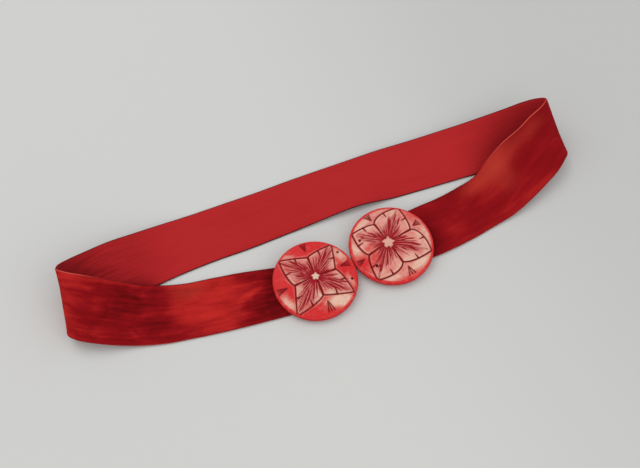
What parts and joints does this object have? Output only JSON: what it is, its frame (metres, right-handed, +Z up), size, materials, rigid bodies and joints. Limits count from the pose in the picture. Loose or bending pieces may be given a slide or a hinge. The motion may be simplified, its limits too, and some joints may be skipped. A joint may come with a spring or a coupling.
{
  "type": "buckle belt",
  "caption": "Closed waist belt of wide velvet ribbon, laid flat on a table, with carved and painted wooden discs hooked together as its buckle",
  "frame": {"origin": "middle of the belt's base, on the surface that it lies on", "axes": "+X along the closed belt from its left turn to its right turn, +Y from the buckle to the back stretch, +Z up from the surface"},
  "size_m": [0.43, 0.132, 0.0418],
  "materials": {
    "velvet": "crushed pile velvet outside, matt woven back inside",
    "painted_wood": "carved wood, red and cream paint under a satin varnish",
    "clasp_steel": "plain stamped sheet, lightly brushed"
  },
  "bodies": {
    "root": {"band": "velvet", "left_disc": "painted_wood", "right_disc": "painted_wood", "clasp_eye": "clasp_steel", "clasp_hook": "clasp_steel"}
  },
  "joints": []
}
